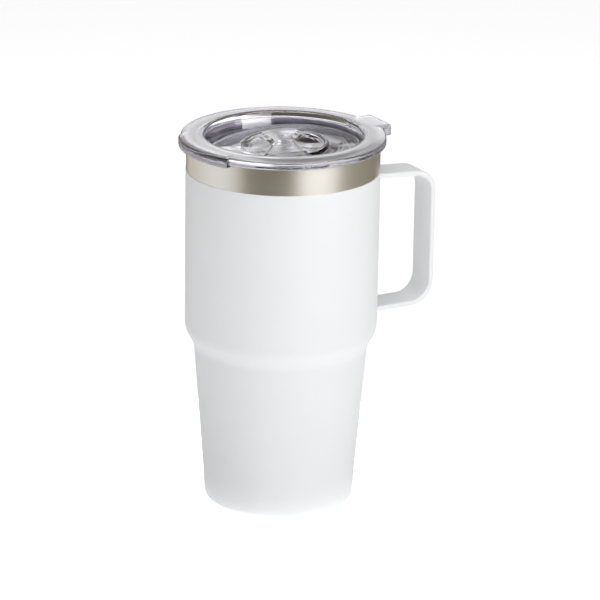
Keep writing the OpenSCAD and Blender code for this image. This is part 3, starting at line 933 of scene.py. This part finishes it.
def dial_level(sizes, point):
    """Height of the dial's top face: an hourglass grip between two finger scoops, and the flat wing."""
    turn = sizes.grip_turn
    along = point.x * math.cos(turn) + point.y * math.sin(turn)
    across = -point.x * math.sin(turn) + point.y * math.cos(turn)
    waist, flare = 4 * MM, 0.486        # half the grip's width at its waist, and how fast it widens
    half = math.sqrt(waist ** 2 + (flare * along) ** 2)
    scoop_at, scoop_wide, scoop_long = 13.5 * MM, 8 * MM, 12 * MM
    off = min(1.0, math.hypot((abs(across) - scoop_at) / scoop_wide, along / scoop_long))
    scoop = 1.3 * MM + 1.0 * MM * off ** 2                  # a dish, lowest in its middle
    grip = sizes.grip - 0.25 * MM * (across / half) ** 2    # a slight crown
    level = grip + (scoop - grip) * blend(half - 0.4 * MM, half + 1.8 * MM, abs(across))
    far, rim = point.length, sizes.plate + 0.5 * MM
    level += (rim - level) * blend(sizes.radius - 2.6 * MM, sizes.radius - 1.2 * MM, far)
    return level + (sizes.plate - level) * blend(sizes.radius - 0.8 * MM, sizes.radius + 0.6 * MM, far)


class TRAVELMUG_OT_dial(bpy.types.Operator):
    """Make the clear dial: a hub with an hourglass grip, one wing and the pin that it turns on"""
    bl_idname = "travelmug.dial"
    bl_label = "Dial"

    def execute(self, context):
        sizes = context.scene.mug_dial
        place = floor_frame()
        under = 0.25 * MM               # the underside's height above the well's floor
        rings_end, ring_count = 19.6 * MM, 84       # the top is laid out in round rings to this radius
        plan = dial_plan(sizes)
        normals = outline_normals(plan)
        turns = [math.atan2(p.y, p.x) for p in plan]

        def circle(radius, z):
            return [on_circle(radius, turn, z) for turn in turns]

        def inset(s, z):
            return [Vector((*(p - n * s), z)) for p, n in zip(plan, normals)]

        chamfer = 0.5 * MM
        loops = [[Vector((0, 0, PIN_END))], circle(sizes.pin - chamfer, PIN_END),
                 circle(sizes.pin, PIN_END + chamfer), circle(sizes.pin, under),
                 circle(9 * MM, under), circle(19 * MM, under)]
        for s, z in arc((1 * MM, under), (0, under), (0, sizes.plate), 0.3 * MM, 3):
            loops.append(inset(s, z))
        for s, z in arc((0, under), (0, sizes.plate), (1 * MM, sizes.plate), 0.7 * MM, 6):
            loop = []
            for p, n in zip(plan, normals):
                q = p - n * s
                lift = dial_level(sizes, q) - sizes.plate if q.length < sizes.radius + 0.6 * MM else 0
                loop.append(Vector((*q, z + lift * (z - under) / (sizes.plate - under))))
            loops.append(loop)
        rim = [p - n * 0.7 * MM for p, n in zip(plan, normals)]
        for t in (0.25, 0.5, 0.75, 1.0):
            loop = []
            for p, turn in zip(rim, turns):
                q = p.lerp(on_circle(rings_end, turn).to_2d(), t)
                loop.append(Vector((*q, dial_level(sizes, q))))
            loops.append(loop)
        for k in range(1, ring_count):
            radius = rings_end * (1 - k / ring_count)
            loops.append([Vector((p.x, p.y, dial_level(sizes, p.to_2d()))) for p in circle(radius, 0)])
        loops.append([Vector((0, 0, dial_level(sizes, Vector((0, 0)))))])

        mesh = looped(loops, closed=False)
        mesh.transform(place)
        dial = make_piece("clear_dial", mesh, clear_finish(context.scene), "dial", "clear_plastic", "dial")
        below, above = -1 * MM, sizes.pad + 2 * REST_GAP        # the pad's pocket
        cut(dial, curved_slot(sizes.slot_radius, sizes.slot_width + 2 * sizes.pad_overlap, sizes.slot_angle,
                              below, above, place))
        return {"FINISHED"}


class TRAVELMUG_OT_dial_seals(bpy.types.Operator):
    """Make the pad under the wing, the ring round the hub and the clip under the lid's floor"""
    bl_idname = "travelmug.dial_seals"
    bl_label = "Dial Seals and Clip"

    def execute(self, context):
        sizes, scene = context.scene.mug_dial, context.scene
        place = floor_frame()
        pad_width = sizes.slot_width + 2 * sizes.pad_overlap - 2 * REST_GAP
        pad = curved_slot(sizes.slot_radius, pad_width, sizes.slot_angle,
                          REST_GAP, REST_GAP + sizes.pad, place)
        make_piece("slot_pad", pad, clear_seal_finish(scene), "dial", "silicone", "dial_pad")

        ring, section, count, around = 5.3 * MM, 0.7 * MM, 16, 96
        loops = []
        for k in range(count):
            turn = 2 * math.pi * k / count
            loops.append([on_circle(ring + section * math.cos(turn), 2 * math.pi * i / around,
                                    section + REST_GAP + section * math.sin(turn)) for i in range(around)])
        o_ring = looped(loops)
        o_ring.transform(place)
        make_piece("hub_o_ring", o_ring, clear_seal_finish(scene), "dial", "silicone", "hub_ring")

        high, wide, bend = -2.2 * MM, 8 * MM, 0.3 * MM
        clip = turned(rounded([(sizes.pin, PIN_END), (wide, PIN_END, bend), (wide, high, bend),
                               (sizes.pin, high)], 3), around)
        clip.transform(place)
        material = moulded_polypropylene(scene.mug_finishes.clip)
        make_piece("dial_clip", clip, material, "dial", "clip_plastic", "hub_clip")
        return {"FINISHED"}


# ---- the studio ----------------------------------------------------------------------------

def panel_light(name, turn, distance, height, width, tall, power):
    """A soft box that faces the mug, its turn counted round the mug from the camera."""
    data = bpy.data.lights.new(name, "AREA")
    data.shape = "RECTANGLE"
    data.size, data.size_y = width, tall
    data.energy = power
    light = bpy.data.objects.new(name, data)
    light.location = on_circle(distance, turn, height)
    middle = Vector((0, 0, 90 * MM))
    light.rotation_euler = (middle - light.location).to_track_quat("-Z", "Y").to_euler()
    bpy.context.scene.collection.objects.link(light)


def floor_ring(name, inner, outer, height, material):
    """A flat ring of the studio, level with the floor; an inner radius of 0 makes a disc."""
    mesh, count = bmesh.new(), 64
    rows = [[mesh.verts.new(on_circle(radius, 2 * math.pi * k / count, height)) for k in range(count)]
            for radius in (max(inner, 1 * MM), outer)]
    join_loops(mesh, *rows)
    if not inner:
        mesh.faces.new(rows[0][::-1])
    bmesh.ops.recalc_face_normals(mesh, faces=mesh.faces)
    piece = make_object(name, mesh, material)
    return piece


def wrap_card(name, rises, stops, radius=0.34, wall=WARM_WALL):
    """A screen bent round the lid at a radius, seen only in gloss and through the clear parts. rises are its
    low and high edges from level, and stops its (turn, strength) points, in degrees from the camera to the
    right. The dimmer it is, the more it takes the colour of the wall."""
    front = bpy.context.scene.mug_studio.azimuth
    middle = Vector((0, 0, 165 * MM))       # the middle of the lid
    first, last = stops[0][0], stops[-1][0]
    degrees_a_column, rise_steps = 1.5, 12
    columns = max(2, round((last - first) / degrees_a_column))
    mesh = bmesh.new()
    glow = mesh.verts.layers.float_color.new("glow")
    rows = []
    for i in range(rise_steps + 1):
        rise = math.radians(rises[0] + (rises[1] - rises[0]) * i / rise_steps)
        row = []
        for k in range(columns + 1):
            turn = first + (last - first) * k / columns
            vert = mesh.verts.new(middle + on_circle(
                radius * math.cos(rise), front + math.radians(turn), radius * math.sin(rise)))
            low, high = next(pair for pair in zip(stops, stops[1:]) if turn <= pair[1][0] + 1e-6)
            strength = low[1] + (high[1] - low[1]) * (turn - low[0]) / max(high[0] - low[0], 1e-6)
            tint = wall.lerp(Vector((1, 1, 1)), min(1.0, 1.2 * strength ** 1.5))
            vert[glow] = (*(tint * strength), 1.0)
            row.append(vert)
        rows.append(row)
    for low, high in zip(rows, rows[1:]):
        for k in range(columns):
            mesh.faces.new((low[k], low[k + 1], high[k + 1], high[k]))
    material, tree = new_material(name)
    shade = add_node(tree, "ShaderNodeAttribute", attribute_name="glow")
    glow = add_node(tree, "ShaderNodeEmission", {"Color": shade.outputs["Color"], "Strength": 1.0})
    add_node(tree, "ShaderNodeOutputMaterial", {"Surface": glow.outputs["Emission"]})
    piece = make_object(name, mesh, material)
    piece.visible_camera = False
    piece.visible_diffuse = False
    piece.visible_shadow = False
    return piece


class TRAVELMUG_OT_stage(bpy.types.Operator):
    """Make the pale floor, the soft light and the camera"""
    bl_idname = "travelmug.stage"
    bl_label = "Studio"

    def execute(self, context):
        scene, sizes = context.scene, context.scene.mug_studio
        paper = scene.mug_finishes.paper
        lit = studio_paper("paper_on_light_table", paper, glow=0.63)
        floor_ring("paper_floor", 0, 4.0, 0, lit)
        # dimmer rings round the foot, never seen directly, that keep the mug's lower half from glowing
        dim = studio_paper("paper_on_dimmed_table", paper, glow=0.27)
        inner = 40 * MM
        flag = floor_ring("floor_flag", inner, 130 * MM, 0.3 * MM, dim)
        gloss_flag = floor_ring("gloss_flag", inner, 500 * MM, 0.4 * MM, dim)
        for piece in (flag, gloss_flag):
            piece.visible_camera = piece.visible_transmission = piece.visible_shadow = False
        flag.visible_glossy = gloss_flag.visible_diffuse = False

        world = bpy.data.worlds.new("studio")
        world.use_nodes = True
        world.node_tree.nodes.clear()
        sky = add_node(world.node_tree, "ShaderNodeBackground", {"Color": (1, 1, 1, 1), "Strength": 0.12})
        add_node(world.node_tree, "ShaderNodeOutputWorld", {"Surface": sky.outputs["Background"]})
        scene.world = world
        scene.view_settings.view_transform = "Standard"
        scene.view_settings.look = "None"

        front = sizes.azimuth
        panel_light("top_box", front, distance=0.35, height=1.5, width=1.4, tall=1.4, power=12.0)
        panel_light("right_box", front + math.radians(42), distance=1.2, height=0.5, width=0.9, tall=1.0,
                    power=4.8)

        screens = [
            wrap_card("low_screen", (-28, 9), ROOM),
            wrap_card("high_screen_left", (9, 62), (
                (-166, 0.8), (-130, 0.5), (-84, 0.35), (-70, 0.08), (19, 0.08))),
            wrap_card("high_screen_right", (9, 62), ((71, 0.04), (125, 0.04), (140, 0.5), (160, 0.8))),
            wrap_card("overhead_box", (62, 88), ((-180, 5.0), (180, 5.0)))]
        for screen in screens:
            screen.visible_transmission = False
        wrap_card("window_box", (11, 48), ((20, 4.8), (70, 4.8)))
        wrap_card("low_backdrop", (9, 20.5), ((160, 1.5), (194, 1.5)))
        wrap_card("high_backdrop", (20.5, 62), ((160, 0.8), (176, 0.1), (183, 0.1), (185, 2.4), (194, 2.4)))
        for name, rises, strength in (("low_tent", (-60, 14), 0.45), ("high_tent", (14, 89), 0.8)):
            tent = wrap_card(name, rises, ((-180, strength), (180, strength)), 0.40, COOL_TENT)
            tent.visible_glossy = False

        data = bpy.data.cameras.new("camera")
        data.sensor_width = 36      # mm
        data.lens = sizes.lens
        data.clip_start, data.clip_end = 0.05, 20
        camera = bpy.data.objects.new("camera", data)
        scene.collection.objects.link(camera)
        aim = Vector((0, 0, sizes.aim_height))
        away = on_circle(math.cos(sizes.elevation), sizes.azimuth, math.sin(sizes.elevation))
        turn = away.to_track_quat("Z", "Y").to_matrix() @ Matrix.Rotation(sizes.roll, 3, "Z")
        camera.location = aim + away * sizes.distance
        aim += turn.col[0] * sizes.aim_right + turn.col[1] * sizes.aim_up
        look = (camera.location - aim).to_track_quat("Z", "Y").to_matrix()
        camera.rotation_euler = (look @ Matrix.Rotation(sizes.roll, 3, "Z")).to_euler()
        scene.camera = camera
        return {"FINISHED"}


class TRAVELMUG_PT_build(bpy.types.Panel):
    """The mug's sizes and colours, and a button for each operator"""
    bl_label = "Travel Mug"
    bl_idname = "TRAVELMUG_PT_build"
    bl_space_type = "VIEW_3D"
    bl_region_type = "UI"
    bl_category = "Travel Mug"

    def draw(self, context):
        for name in GROUPS:
            sizes = getattr(context.scene, name)
            box = self.layout.box()
            for key in sizes.bl_rna.properties.keys():
                if key not in ("name", "rna_type"):
                    box.prop(sizes, key)
        for operator in OPERATORS:
            self.layout.operator(operator.bl_idname)


GROUPS = {
    "mug_body": MugBodySizes,
    "mug_handle": HandleSizes,
    "mug_lid": LidSizes,
    "mug_dial": DialSizes,
    "mug_finishes": MugFinishes,
    "mug_studio": StudioSizes,
}
OPERATORS = (
    TRAVELMUG_OT_steel_body,
    TRAVELMUG_OT_powder_coat,
    TRAVELMUG_OT_handle,
    TRAVELMUG_OT_lid,
    TRAVELMUG_OT_lid_seal,
    TRAVELMUG_OT_dial,
    TRAVELMUG_OT_dial_seals,
    TRAVELMUG_OT_stage,
)


def register():
    for name, group in GROUPS.items():
        bpy.utils.register_class(group)
        setattr(bpy.types.Scene, name, bpy.props.PointerProperty(type=group))
    for operator in OPERATORS:
        bpy.utils.register_class(operator)
    bpy.utils.register_class(TRAVELMUG_PT_build)


def unregister():
    bpy.utils.unregister_class(TRAVELMUG_PT_build)
    for operator in reversed(OPERATORS):
        bpy.utils.unregister_class(operator)
    for name, group in GROUPS.items():
        delattr(bpy.types.Scene, name)
        bpy.utils.unregister_class(group)


def main():
    register()
    bpy.ops.travelmug.steel_body()
    bpy.ops.travelmug.powder_coat()
    bpy.ops.travelmug.handle()
    bpy.ops.travelmug.lid()
    bpy.ops.travelmug.lid_seal()
    bpy.ops.travelmug.dial()
    bpy.ops.travelmug.dial_seals()
    bpy.ops.travelmug.stage()


if __name__ == "__main__":
    main()
